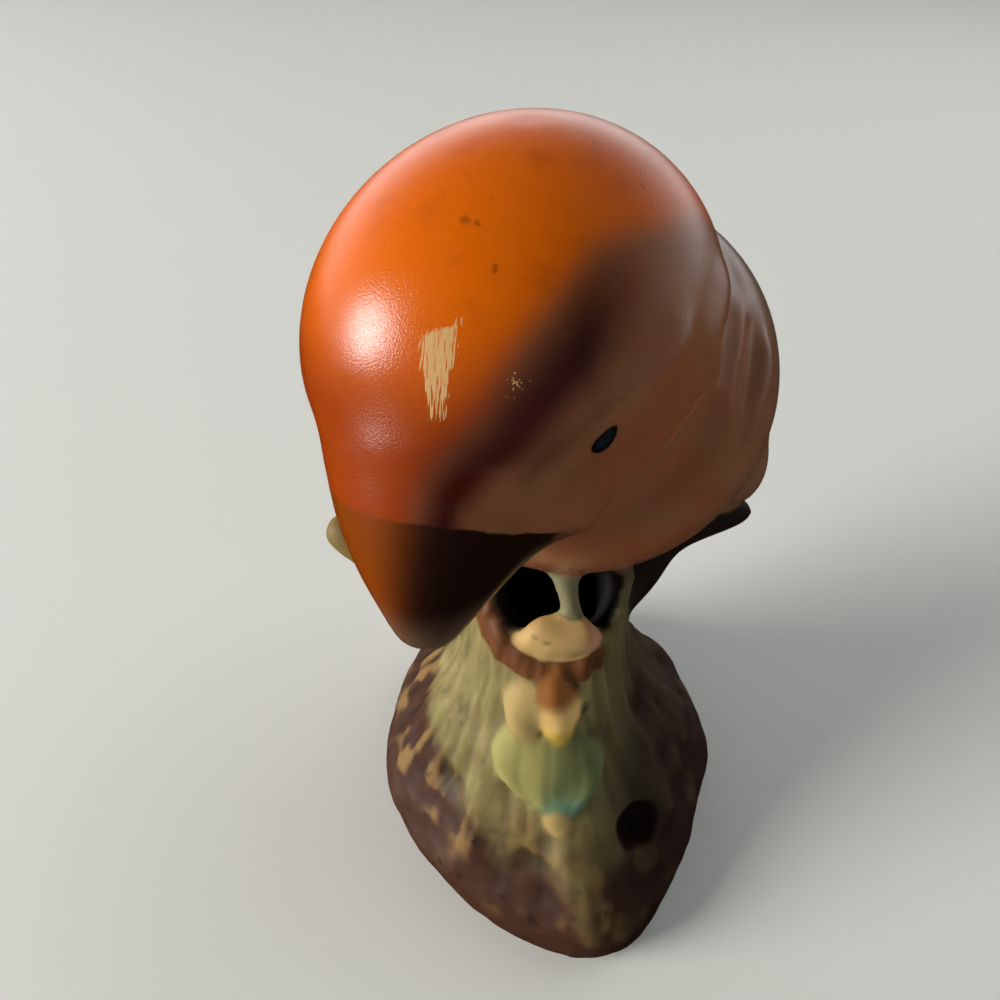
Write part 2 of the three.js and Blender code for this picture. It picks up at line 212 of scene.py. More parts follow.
# Shares of the way up the stump, with the share of the flare that is left there
FLARE = [(0, 0.947), (0.06, 0.837), (0.14, 0.709), (0.21, 0.602), (0.3, 0.46), (0.39, 0.356),
         (0.47, 0.226), (0.56, 0.13), (0.65, 0.065), (0.75, 0.024), (0.83, 0), (1, 0)]
STUMP_PROFILE = np.array([
    (0, BASE_RADIUS - UNDERCUT),
    (BASE_EDGE_HEIGHT * 0.2, BASE_RADIUS - UNDERCUT * 0.2),
    (BASE_EDGE_HEIGHT * 0.57, BASE_RADIUS),
    *[(BASE_EDGE_HEIGHT + NECK_HEIGHT * up, RIM_RADIUS + FLARE_WIDTH * flare) for up, flare in FLARE],
])


def turn_between(a, b):
    return (a - b + 180) % 360 - 180


def roots_at(angle):
    return sum(lift * MM * bell(turn_between(angle, at), ROOT_SPREAD) for at, lift in ROOTS) - ROOT_SINK


def stump_points(angle, height, radius):
    """Points at angles around the stump, with the base's prow, the roots and the neck's lean."""
    turn = np.radians(angle)
    up = height / MOUTH_HEIGHT
    rising = smooth(BASE_EDGE_HEIGHT, MOUTH_HEIGHT * 0.64, height)
    off = turn_between(angle, PROW_ANGLE)
    prow = PROW_REACH * bell(off, np.where(off < 0, PROW_SPREAD_LEFT, PROW_SPREAD_RIGHT))
    reach = radius + prow * (1 - smooth(0.04, 0.47, up))
    reach = reach + roots_at(angle) * smooth(0.02, 0.12, up) * (1 - smooth(0.41, 0.74, up))
    behind = np.maximum(0, np.sin(turn)) ** 2
    x = np.cos(turn) * reach + (MOUTH_ASIDE - NECK_ASIDE) * rising
    y = np.sin(turn) * reach + (BACK_WALL * behind - NECK_FORWARD) * rising
    return np.stack([x, y, np.broadcast_to(height, np.shape(x))], axis=-1)


def on_bark(angle, up, out=0.0):
    """A place on the stump, at an angle around it and a share of the way up to the mouth."""
    height = MOUTH_HEIGHT * up
    return Vector(stump_points(angle, height, np.interp(height, *STUMP_PROFILE.T) + out * MM))


def on_rim(angle, radius, out=0.0):
    """A place on the mouth's rim, at an angle around the mouth from its lowest point."""
    turn = math.radians(angle)
    down = MOUTH_DOWN * math.cos(turn) * radius
    across = RIGHTWARDS * math.sin(turn) * radius
    return MOUTH_MIDDLE + down + across + MOUTH_FACING * out


def stump_form():
    sides = 180
    heights, radii = (along(column, np.linspace(0, 1, 110)) for column in STUMP_PROFILE.T)
    heights[0] = 0
    angle = np.arange(sides) * 360 / sides
    points = [stump_points(angle, height, radius) for height, radius in zip(heights, radii)]
    rings = len(points)
    faces = [tuple(range(sides))[::-1], tuple((rings - 1) * sides + side for side in range(sides))]
    for ring in range(rings - 1):
        for side in range(sides):
            after = (side + 1) % sides
            low, high = ring * sides, (ring + 1) * sides
            faces.append((low + side, low + after, high + after, high + side))
    return np.vstack(points), faces


def hollow_form():
    half = MOUTH_WIDTH / 2
    sizes = sizes_of(MOUTH_WIDTH, (1, 1, 0.97, 0.92, 0.8))
    points = [
        MOUTH_MIDDLE + MOUTH_FACING * half * 1.2,
        MOUTH_MIDDLE,
        MOUTH_MIDDLE - MOUTH_FACING * half * 0.75,
        Vector((MOUTH_ASIDE, -MOUTH_FORWARD * 0.2, MOUTH_HEIGHT - HOLLOW_DEPTH)),
    ]
    return form_along(points, sizes, sizes, bluntness=0.35, side=RIGHTWARDS, rings=48)


def ball(middle, width, *shares):
    points, faces = sphere_grid(40, 28)
    return points * np.array(shares) * width / 2 + np.array(middle), faces


HOLES = [
    ball(on_bark(-57, 0.29, -1.5), HOLE_WIDTH, 1, 1, 1.1),
    ball(on_bark(-139, 0.35, 2), DIMPLE_WIDTH, 1, 0.8, 0.7),
    ball(on_bark(-100, 0.28, 2.5), DIMPLE_WIDTH, 1, 0.7, 0.7),
]
STONE = ball(on_bark(-57, 0.175, -4), STONE_WIDTH, 1.2, 0.9, 0.8)
BRANCHES = {
    "branch_right": (
        [in_stump(0.08, 0.02, 0.674), in_stump(0.2, 0.06, 0.872), in_stump(0.28, 0.08, 1.02),
         in_stump(0.467, 0.084, 1.108)],
        sizes_of(BRANCH_WIDTH_RIGHT, (1, 0.93, 0.8, 0.72, 0.67)),
    ),
    "branch_left": (
        [in_stump(-0.1, 0.02, 0.633), in_stump(-0.336, 0.06, 0.878), in_stump(-0.582, 0.082, 1.05)],
        sizes_of(BRANCH_WIDTH_LEFT, (1, 0.95, 0.84, 0.78, 0.71)),
    ),
}
FRONT_ROOT = [
    on_bark(-86, 0.4, -2.5), on_bark(-84, 0.26, -3.2), on_bark(-81, 0.14, -4.4), on_bark(-79, 0.07, -5),
]
BUD_SHAPE = (sizes_of(BUD_WIDTH, (0.52, 0.9, 1, 0.82, 0.44)), BUD_WIDTH * 0.34)
LEAF_SHAPE = (sizes_of(LEAF_WIDTH, (0.5, 0.92, 1, 0.8, 0.34)), LEAF_THICKNESS / 2)
SMALL_SHAPE = (sizes_of(BUD_WIDTH * 0.7, (0.46, 0.9, 1, 0.84, 0.4)), BUD_WIDTH * 0.26)
FOLIAGE = {
    "bud_left": ([on_bark(-107, 0.835), on_bark(-108, 0.728, 0.4), on_bark(-102, 0.613)], BUD_SHAPE),
    "bud_right": ([on_bark(-93, 0.877), on_bark(-85, 0.752, 0.6), on_bark(-87, 0.63)], BUD_SHAPE),
    "leaf_left": ([on_bark(-107, 0.7), on_bark(-107, 0.55, -0.4), on_bark(-97, 0.42, -0.4)], LEAF_SHAPE),
    "leaf_right": ([on_bark(-75, 0.66), on_bark(-75, 0.53, -0.4), on_bark(-85, 0.41)], LEAF_SHAPE),
    "leaf_middle": ([on_bark(-90, 0.66), on_bark(-91, 0.54, 0.4), on_bark(-91, 0.405)], LEAF_SHAPE),
    "small_bud": ([on_bark(-89, 0.428), on_bark(-88, 0.397, 0.3), on_bark(-87, 0.364)], SMALL_SHAPE),
}


def branch_form(points, sizes):
    return form_along(points, sizes, sizes, bluntness=0.45, side=Vector((0, 1, 0)))


def leaf_form(points, shape):
    widths, half_thickness = shape
    return form_along(points, widths, [half_thickness] * len(widths), bluntness=0.8, sides=40, rings=40)


# The bird

SKULL_MIDDLE = on_bird(-0.113, 0.03, 0.679)
BEAK_POINTS = [on_bird(-0.162, -0.07, 0.607), on_bird(-0.232, -0.232, 0.502), on_bird(-0.258, -0.401, 0.381)]
BODY_POINTS = [on_bird(-0.026, 0.041, 0.672), on_bird(0.018, 0.161, 0.523), on_bird(0.034, 0.346, 0.18),
               on_bird(0.042, 0.496, -0.085)]
TAIL_POINTS = [on_bird(0.046, 0.3, 0.364), on_bird(0.05, 0.454, -0.035), on_bird(0.042, 0.444, -0.334),
               on_bird(0.03, 0.416, -0.592)]
BACK_ASIDE = 0.034  # how far the middle of the back lies to the right of the mouth
TAIL_WIDTHS = sizes_of(TAIL_WIDTH, (0.81, 1, 0.9, 0.76, 0.57))
WING_WIDTHS = sizes_of(WING_WIDTH, (0.78, 1, 0.92, 0.65, 0.35))
ANKLE = on_rim(26, MOUTH_WIDTH * 0.335)
TOE_ANGLES = (-34, -14, 6, 25)


def skull_form():
    nape = Vector((0.74, 0.58, 0.22)).normalized()
    level = UP.cross(nape).normalized()
    turn = Matrix((nape, level, nape.cross(level))).transposed()
    points, faces = sphere_grid(160, 110)
    points = points * SKULL_WIDTH / 2 * np.array([SKULL_LENGTH / SKULL_WIDTH, 1, 1])
    return points @ np.array(turn).T + np.array(SKULL_MIDDLE), faces


def beak_form():
    sizes = sizes_of(BEAK_WIDTH, (1.18, 1.47, 1.05, 0.69, 0.39))
    return form_along(BEAK_POINTS, sizes, sizes, bluntness=0.5, sides=120, rings=90)


def body_form():
    widths = sizes_of(BODY_RADIUS * 2, (0.9, 1, 1.04, 0.92, 0.6))
    depths = sizes_of(BODY_RADIUS * 2, (0.8, 0.95, 0.98, 0.86, 0.55))
    return form_along(BODY_POINTS, widths, depths, bluntness=0.8, sides=160, rings=140)


def tail_form():
    depths = sizes_of(TAIL_THICKNESS, (0.82, 1, 0.84, 0.6, 0.36))
    return form_along(TAIL_POINTS, TAIL_WIDTHS, depths, bluntness=0.6, sides=90, rings=110)


def wing_curve(sideways):
    places = [(0.259, 0.081, 0.543), (0.295, 0.271, 0.304), (0.199, 0.49, 0.005), (0.08, 0.539, -0.294)]
    points = [on_bird(BACK_ASIDE + sideways * x, y, z) for x, y, z in places]
    return points, Vector((sideways, 0.35, 0.2)).normalized()


def wing_form(sideways):
    points, side = wing_curve(sideways)
    depths = sizes_of(WING_THICKNESS, (0.8, 1, 0.9, 0.7, 0.4))
    return form_along(points, WING_WIDTHS, depths, bluntness=0.9, side=side, sides=110, rings=110)


def leg_form():
    sizes = sizes_of(LEG_WIDTH, (1.5, 1.1, 1))
    points = [on_bird(-0.014, 0.021, 0.182), on_bird(0.01, -0.02, 0.061), ANKLE]
    return form_along(points, sizes, sizes, bluntness=0.4, side=RIGHTWARDS, sides=32, rings=32)


def toe_form(angle):
    tip = on_rim(angle, MOUTH_WIDTH / 2 + RIM_WALL * 0.42, TOE_WIDTH * 0.08)
    knuckle = ANKLE.lerp(tip, 0.6) + UP * TOE_WIDTH * 0.35
    sizes = sizes_of(TOE_WIDTH, (0.8, 1, 1, 0.7))
    return form_along([ANKLE, knuckle, tip], sizes, sizes, bluntness=0.5, sides=32, rings=28)


# Making and fusing the meshes

def mesh_object(name, points, faces):
    mesh = bpy.data.meshes.new(name)
    mesh.from_pydata([tuple(p) for p in points], [], faces)
    bm = bmesh.new()
    bm.from_mesh(mesh)
    bmesh.ops.recalc_face_normals(bm, faces=bm.faces)
    bm.to_mesh(mesh)
    bm.free()
    thing = bpy.data.objects.new(name, mesh)
    bpy.context.collection.objects.link(thing)
    return thing


def applied(thing):
    """The object with its modifiers made real."""
    bpy.context.view_layer.update()
    evaluated = thing.evaluated_get(bpy.context.evaluated_depsgraph_get())
    mesh = bpy.data.meshes.new_from_object(evaluated)
    thing.modifiers.clear()
    thing.data = mesh
    return thing


def cut_away(thing, cutters):
    for cutter in cutters:
        cut = thing.modifiers.new("cut", "BOOLEAN")
        cut.operation = "DIFFERENCE"
        cut.solver = "EXACT"
        cut.object = cutter
    applied(thing)
    for cutter in cutters:
        bpy.data.objects.remove(cutter)


def cut_stump():
    """The stump with its mouth cut open, its hollow and the holes in its rock."""
    stump = mesh_object("stump", *stump_form())
    block = bpy.data.meshes.new("mouth_block")
    bm = bmesh.new()
    bmesh.ops.create_cube(bm, size=0.08)
    tilt = Matrix.Rotation(MOUTH_TILT, 4, "X")
    bm.transform(Matrix.Translation(MOUTH_MIDDLE) @ tilt @ Matrix.Translation((0, 0, 0.04)))
    bm.to_mesh(block)
    bm.free()
    blocker = bpy.data.objects.new("mouth_block", block)
    bpy.context.collection.objects.link(blocker)
    hollow = mesh_object("hollow", *hollow_form())
    cut_away(stump, [blocker, hollow, *[mesh_object("hole", *hole) for hole in HOLES]])
    return stump


def fused_casting(forms):
    """One closed skin around all the forms and the cut stump."""
    parts = [cut_stump()] + [mesh_object(name, points, faces) for name, points, faces in forms]
    bm = bmesh.new()
    for part in parts:
        bm.from_mesh(part.data)
    mesh = bpy.data.meshes.new("parrot_glazed")
    bm.to_mesh(mesh)
    bm.free()
    for part in parts:
        bpy.data.objects.remove(part)
    casting = bpy.data.objects.new("parrot_glazed", mesh)
    bpy.context.collection.objects.link(casting)
    remesh = casting.modifiers.new("fuse", "REMESH")
    remesh.mode = "VOXEL"
    remesh.voxel_size = SKIN_STEP
    return applied(casting)


ROOT_WIDTHS = sizes_of(FRONT_ROOT_WIDTH, (0.6, 0.92, 1, 1, 0.72))
ROOT_DEPTHS = sizes_of(FRONT_ROOT_WIDTH, (0.8, 1, 1.1, 1.1, 0.8))
FORMS = [
    ("skull", *skull_form()), ("beak", *beak_form()), ("body", *body_form()), ("tail", *tail_form()),
    ("wing_right", *wing_form(-1)), ("wing_left", *wing_form(1)), ("leg", *leg_form()),
    *[("toe", *toe_form(angle)) for angle in TOE_ANGLES],
    *[(name, *branch_form(*branch)) for name, branch in BRANCHES.items()],
    ("front_root", *form_along(FRONT_ROOT, ROOT_WIDTHS, ROOT_DEPTHS, sides=48, rings=60)),
    ("stone", *STONE),
    *[(name, *leaf_form(*leaf)) for name, leaf in FOLIAGE.items()],
]
casting = fused_casting(FORMS)


# The skin as arrays

class Skin:
    """The fused mesh's points, with sums over their neighbours."""

    def __init__(self, mesh):
        self.mesh = mesh
        count = len(mesh.vertices)
        flat = np.empty(count * 3)
        mesh.vertices.foreach_get("co", flat)
        self.points = flat.reshape(-1, 3)
        edges = np.empty(len(mesh.edges) * 2, int)
        mesh.edges.foreach_get("vertices", edges)
        self.first, self.second = edges.reshape(-1, 2).T
        self.valence = np.bincount(edges, minlength=count)

    def spread(self, values):
        """The mean of each point's neighbours."""
        count = len(self.points)
        columns = values.reshape(count, -1).T
        summed = [
            np.bincount(self.first, column[self.second], count)
            + np.bincount(self.second, column[self.first], count)
            for column in columns
        ]
        return (np.array(summed).T / self.valence[:, None]).reshape(values.shape)

    def soften(self, rounds, weight):
        for _ in range(rounds):
            self.points += (self.spread(self.points) - self.points) * (0.5 * weight)[:, None]

    def blurred(self, mask, rounds):
        for _ in range(rounds):
            mask = 0.5 * mask + 0.5 * self.spread(mask)
        return mask

    def write(self):
        self.mesh.vertices.foreach_set("co", self.points.ravel())
        self.mesh.update()

    def normals(self):
        self.write()
        flat = np.empty(len(self.points) * 3)
        self.mesh.vertex_normals.foreach_get("vector", flat)
        return flat.reshape(-1, 3)

    def raise_by(self, heights):
        self.points += self.normals() * heights[:, None]

    def keep(self, name, values):
        layer = self.mesh.attributes.new(name, "FLOAT", "POINT")
        layer.data.foreach_set("value", np.clip(values, 0, 1).astype(np.float32))


skin = Skin(casting.data)


def nearest_forms():
    """For each point of the skin, the kind of form that its surface belongs to."""
    named = [(name, points) for name, points, _ in FORMS]
    named += [("stump", stump_form()[0]), ("hollow", hollow_form()[0])]
    kinds = sorted({name for name, _ in named})
    total = sum(len(points) for _, points in named)
    tree = KDTree(total)
    owner = []
    for name, points in named:
        for point in points:
            tree.insert(point, len(owner))
            owner.append(kinds.index(name))
    tree.balance()
    found = [owner[tree.find(point)[1]] for point in skin.points]
    return kinds, np.array(found)


KINDS, label = nearest_forms()


def of_kind(*names):
    return np.isin(label, [KINDS.index(name) for name in names]).astype(float)


def meeting(names, rounds):
    """How close each point lies to where the named forms meet."""
    masks = np.array([skin.blurred(of_kind(name), rounds) for name in names])
    total = masks.sum(axis=0)
    return np.clip(3 * (total - masks.max(axis=0)), 0, 1)


BIRD = ("skull", "beak", "body", "tail", "wing_right", "wing_left")
BUDS = ("bud_left", "bud_right", "small_bud")
LEAVES = ("leaf_left", "leaf_right", "leaf_middle")
bird = of_kind(*BIRD)
skin.soften(6, np.ones(len(label)))
skin.soften(86, meeting(("skull", "beak"), 27) * bird)
skin.soften(117, meeting(("skull", "body", "wing_left", "wing_right"), 34) * bird)
skin.soften(24, meeting(("body", "wing_left", "wing_right", "tail"), 11) * bird)
skin.soften(10, skin.blurred(of_kind("front_root", "stone", *BRANCHES), 6))
skin.soften(25, skin.blurred(of_kind(*BUDS, *LEAVES), 5))
skin.soften(6, 1 - skin.blurred(bird, 4))
for dimple in (on_bark(-139, 0.35), on_bark(-100, 0.28)):
    skin.soften(40, bell(np.linalg.norm(skin.points - np.array(dimple), axis=1), 7 * MM))


# Where each point lies on the stump, the rim and the head

x, y, z = skin.points.T
rising = smooth(BASE_EDGE_HEIGHT, MOUTH_HEIGHT * 0.64, z)
around = np.arctan2(y + NECK_FORWARD * rising, x - (MOUTH_ASIDE - NECK_ASIDE) * rising)
stumpy = skin.blurred(of_kind("stump", "front_root", "stone"), 3)
birdy = skin.blurred(bird, 1)

from_mouth = skin.points - np.array(MOUTH_MIDDLE)
out_of_mouth = from_mouth @ np.array(MOUTH_FACING)
down_the_rim = from_mouth @ np.array(MOUTH_DOWN)
from_mouth_axis = np.hypot(down_the_rim, from_mouth[:, 0])
around_mouth = np.degrees(np.arctan2(from_mouth[:, 0], down_the_rim))

HEAD_ASIDE = np.array([-0.88, 0.47, 0])
HEAD_FORWARD = np.array([-0.47, -0.88, 0])
aside = (skin.points - np.array(SKULL_MIDDLE)) @ HEAD_ASIDE
forward = (skin.points - np.array(SKULL_MIDDLE)) @ HEAD_FORWARD


# Relief

STRAND_HEIGHT = 1.2 * MM
FINE_HEIGHT = 0.35 * MM
LUMP_HEIGHT = 0.75 * MM
PIT_DEPTH = 0.3 * MM
LIP_HEIGHT = 0.7 * MM
VEIN_DEPTH = 0.2 * MM


def sampled_noise(a, b, c):
    return np.array([noise.noise((p, q, r)) for p, q, r in zip(a, b, c)])


def place_on_path(points):
    """Distance of each point of the skin from a smooth path, and the share along it."""
    shares = np.linspace(0, 1, 80)
    best = np.full(len(skin.points), 1.0)
    place = np.zeros(len(skin.points))
    for share, point in zip(shares, curve_through(points, shares)):
        apart = np.linalg.norm(skin.points - point, axis=1)
        nearer = apart < best
        best[nearer] = apart[nearer]
        place[nearer] = share
    return best, place


def ridge(points, height, width):
    """A soft ridge along a path, or a groove where the height is negative, that fades at both ends."""
    apart, share = place_on_path([in_mm(*point) for point in points])
    return height * MM * bell(apart, width * MM) * smooth(0, 0.22, share) * (1 - smooth(0.78, 1, share))


def bark():
    fan = np.column_stack([np.cos(around), np.sin(around)])
    strands = sampled_noise(*(fan * 7.5).T, z / (24 * MM))
    fine = sampled_noise(*(fan * 17).T, z / (15 * MM) + 5)
    band = smooth(10 * MM, 30 * MM, z)
    return (STRAND_HEIGHT * strands + FINE_HEIGHT * fine) * band * stumpy


def rock():
    lumps = sampled_noise(x / (11 * MM), y / (11 * MM), z / (9 * MM))
    pits = sampled_noise(x / (4.5 * MM), y / (4.5 * MM), z / (4.5 * MM))
    band = (1 - smooth(26 * MM, 46 * MM, z)) * smooth(1.5 * MM, 6 * MM, z)
    return (LUMP_HEIGHT * lumps + PIT_DEPTH * pits) * band * stumpy


def rim_lip():
    """The swollen lip around the mouth of the hollow."""
    near_lip = bell(from_mouth_axis - (MOUTH_WIDTH + RIM_WALL) / 2, 3.4 * MM) * bell(out_of_mouth, 2.6 * MM)
    return LIP_HEIGHT * near_lip * stumpy


# Soft ridges and grooves, as a path in millimetres, a height and a width
FOLDS = [
    ([(18.4, -5, 180), (17.7, -13.8, 175.1), (16.1, -19.3, 170.2), (20.7, -13.2, 155.4), (23, -15, 148)],
     1.1, 3.2),
    ([(25, 4, 169.5), (24.9, -4.2, 164), (23.7, -10.3, 158.3), (24.2, -14.2, 150.8), (24, -17, 144)],
     0.9, 2.8),
    ([(30, 0, 163), (31.2, -6.1, 156.3), (29, -11.6, 150.8), (28.1, -14.1, 143.7)], 0.9, 2.8),
    ([(21.5, 0, 172), (21.5, -9, 167), (20, -15, 160), (22.5, -15, 151)], -0.9, 2.6),
    ([(28, 2, 166), (28, -6, 160), (26.5, -12, 153), (26, -15.5, 146)], -0.8, 2.4),
    ([(-4, -37, 150), (3, -31, 147), (9.4, -24, 147), (16, -18.5, 153)], 0.9, 3.2),
    ([(-20, -41, 160), (-9.4, -37.3, 166), (-0.4, -33.4, 172), (7.9, -27.1, 174.6), (12.6, -19.8, 178.5)],
     1.2, 3.6),
    ([(-11, -39, 160), (-3, -36, 163), (3, -32, 166.5), (10, -26, 168)], -1.0, 3.6),
]


def feathers(share, across, rows, per_row, height):
    """Overlapping rounded feathers: each one rises towards its tip and drops at its curved edge."""
    row = np.floor(share * rows)
    cell = share * rows - row
    place = across * per_row + 0.5 * (row % 2)
    from_shaft = 2 * (place - np.floor(place)) - 1
    edge = 0.55 + 0.4 * np.sqrt(np.maximum(0, 1 - from_shaft ** 2))
    lifted = np.where(cell < edge, 0.25 + 0.75 * cell / edge, 0)
    shaft = 0.12 * bell(from_shaft, 0.16) * (cell < edge)
    return height * (lifted + shaft)


def long_feathers(across, count, height):
    """Feathers that run the length of the wing or tail, side by side."""
    place = across * count
    from_shaft = 2 * (place - np.floor(place)) - 1
    return height * (np.sqrt(np.maximum(0, 1 - from_shaft ** 4)) + 0.2 * bell(from_shaft, 0.12))


def place_on_form(points, widths, side):
    """For each point of the skin, the share along a form and the share across it."""
    _, share = place_on_path(points)
    _, across, _ = directions_along(points, share, side)
    offset = ((skin.points - curve_through(points, share)) * across).sum(axis=1)
    return share, offset / along(widths, share)


WING_FEATHER_HEIGHT = 1.7
TAIL_FEATHER_HEIGHT = 1.6


def plumage():
    """The feathers of the wings and the tail, on the sides that face back."""
    raised = np.zeros(len(skin.points))
    behind = smooth(0, 16 * MM, y)
    for name, sideways in (("wing_left", 1), ("wing_right", -1)):
        points, side = wing_curve(sideways)
        share, across = place_on_form(points, WING_WIDTHS, side)
        long_part = smooth(0.5, 0.56, share)
        shapes = feathers(share, across, rows=9, per_row=1.6, height=WING_FEATHER_HEIGHT) * (1 - long_part)
        shapes += long_feathers(across, count=2, height=WING_FEATHER_HEIGHT) * long_part
        raised += shapes * skin.blurred(of_kind(name), 4)
    share, across = place_on_form(TAIL_POINTS, TAIL_WIDTHS, UP)
    shapes = long_feathers(across, count=1.5, height=TAIL_FEATHER_HEIGHT) * smooth(0.3, 0.45, share)
    raised += shapes * skin.blurred(of_kind("tail"), 4)
    return skin.blurred(raised, 1) * behind * MM


def leaf_veins():
    carved = np.zeros(len(skin.points))
    for name in LEAVES:
        apart, _ = place_on_path(FOLIAGE[name][0])
        level = np.abs(x - np.interp(z, *np.array([(p.z, p.x) for p in FOLIAGE[name][0]][::-1]).T))
        carved -= VEIN_DEPTH * bell(level, 0.9 * MM) * (apart < 8 * MM) * skin.blurred(of_kind(name), 1)
    return carved


stump_relief = bark() + rock() + rim_lip() + leaf_veins()
skin.raise_by(stump_relief)
skin.raise_by(sum(ridge(*fold) for fold in FOLDS) * birdy + plumage())
skin.points = np.clip(skin.points, LOW, HIGH)
skin.points[skin.points[:, 2] < 0.35 * MM, 2] = LOW[2]
skin.write()


# Painted masks

skull_area = skin.blurred(of_kind("skull", "beak"), 12)
FADE_FORWARD = in_mm(-20, 2, 7, 12, 19, 25, 29, 33, 37.5, 45)
FADE_EDGE = in_mm(26, 22, 19.5, 17, 15.5, 13, 11.5, 9, 5, 4)
# How far aside, at each distance forward, the band of painted shade runs down the right of the head
SHADE_STREAK_FORWARD = in_mm(8, 15, 21, 25, 28, 31, 36, 40, 46)
SHADE_STREAK_ASIDE = in_mm(22, 20.5, 19.5, 17.5, 15.5, 13.5, 9, 8.5, 9)
far_edge = 27 * MM - 0.4 * np.maximum(0, -forward)
fade = np.interp(forward, FADE_FORWARD, FADE_EDGE)
crown = 1 - smooth(fade - 4 * MM, fade + 4 * MM, -aside)
crown *= 1 - smooth(far_edge - 3 * MM, far_edge + 6 * MM, aside)
crown *= smooth(140 * MM, 158 * MM, z) * (1 - smooth(14 * MM, 36 * MM, -forward))
off_shade_streak = -aside - np.interp(forward, SHADE_STREAK_FORWARD, SHADE_STREAK_ASIDE)
outer_spread = np.interp(forward, in_mm(15, 25), in_mm(3.2, 2.4))
shade_streak = bell(off_shade_streak, np.where(off_shade_streak > 0, outer_spread, 4.4 * MM)) * smooth(5 * MM, 21 * MM, forward)
rim = smooth(12 * MM, 13.4 * MM, from_mouth_axis) * (1 - smooth(20 * MM, 24 * MM, from_mouth_axis))
rim *= bell(out_of_mouth, 8 * MM) * (1 - smooth(18, 55, around_mouth)) * stumpy

normals = skin.normals()
bend = ((skin.spread(skin.points) - skin.points) * normals).sum(axis=1)
crease = skin.blurred(np.clip(bend / (0.05 * MM), -1, 1), 3)

skin.keep("bird", birdy)
skin.keep("crown", crown * smooth(0.2, 0.8, skull_area))
skin.keep("shade_streak", shade_streak * smooth(0.2, 0.8, skull_area) * (aside < 0))
skin.keep("head", skull_area)
skin.keep("rim", rim)
# concave places, which the paint darkens, partly as pooled glaze and partly as painted shade
skin.keep("crease", np.maximum(0, crease))
skin.keep("lifted", 0.5 + stump_relief / (1.6 * MM))
skin.keep("branch_right", skin.blurred(of_kind("branch_right"), 2))
skin.keep("branch_left", skin.blurred(of_kind("branch_left"), 2))
skin.keep("leaf", skin.blurred(of_kind(*LEAVES), 2))
for kind in BUDS:
    skin.keep(kind, skin.blurred(of_kind(kind), 3))
inside = (1 - smooth(12.2 * MM, 13.2 * MM, from_mouth_axis)) * (1 - smooth(-1.5 * MM, 0.3 * MM, out_of_mouth))
inside *= smooth(55 * MM, 62 * MM, z) * (1 - birdy)
skin.keep("hollow", np.maximum(skin.blurred(of_kind("hollow"), 1), inside))
skin.keep("toe", skin.blurred(of_kind("toe"), 3))
skin.keep("leg", skin.blurred(of_kind("leg"), 2))


# Materials

class Nodes:
    """Short ways to add nodes to one tree."""

    def __init__(self, tree):
        self.nodes, self.links = tree.nodes, tree.links

    def feed(self, socket, value):
        if isinstance(value, bpy.types.NodeSocket):
            self.links.new(value, socket)
        elif socket.type == "RGBA":
            socket.default_value = (*value, 1)
        else:
            socket.default_value = value

    def math(self, operation, first, second=0.0, third=0.0):
        node = self.nodes.new("ShaderNodeMath")
        node.operation = operation
        for socket, value in zip(node.inputs, (first, second, third)):
            self.feed(socket, value)
        return node.outputs[0]

    def product(self, *values):
        result = values[0]
        for value in values[1:]:
            result = self.math("MULTIPLY", result, value)
        return result

    def ramp(self, value, low, high, start=0.0, end=1.0, bend="SMOOTHSTEP"):
        """A change from start to end while the value goes from low to high."""
        node = self.nodes.new("ShaderNodeMapRange")
        node.interpolation_type = bend
        ends = {"Value": value, "From Min": low, "From Max": high, "To Min": start, "To Max": end}
        for name, number in ends.items():
            self.feed(node.inputs[name], number)
        return node.outputs[0]

    def split(self, vector):
        node = self.nodes.new("ShaderNodeSeparateXYZ")
        self.links.new(vector, node.inputs[0])
        return node.outputs


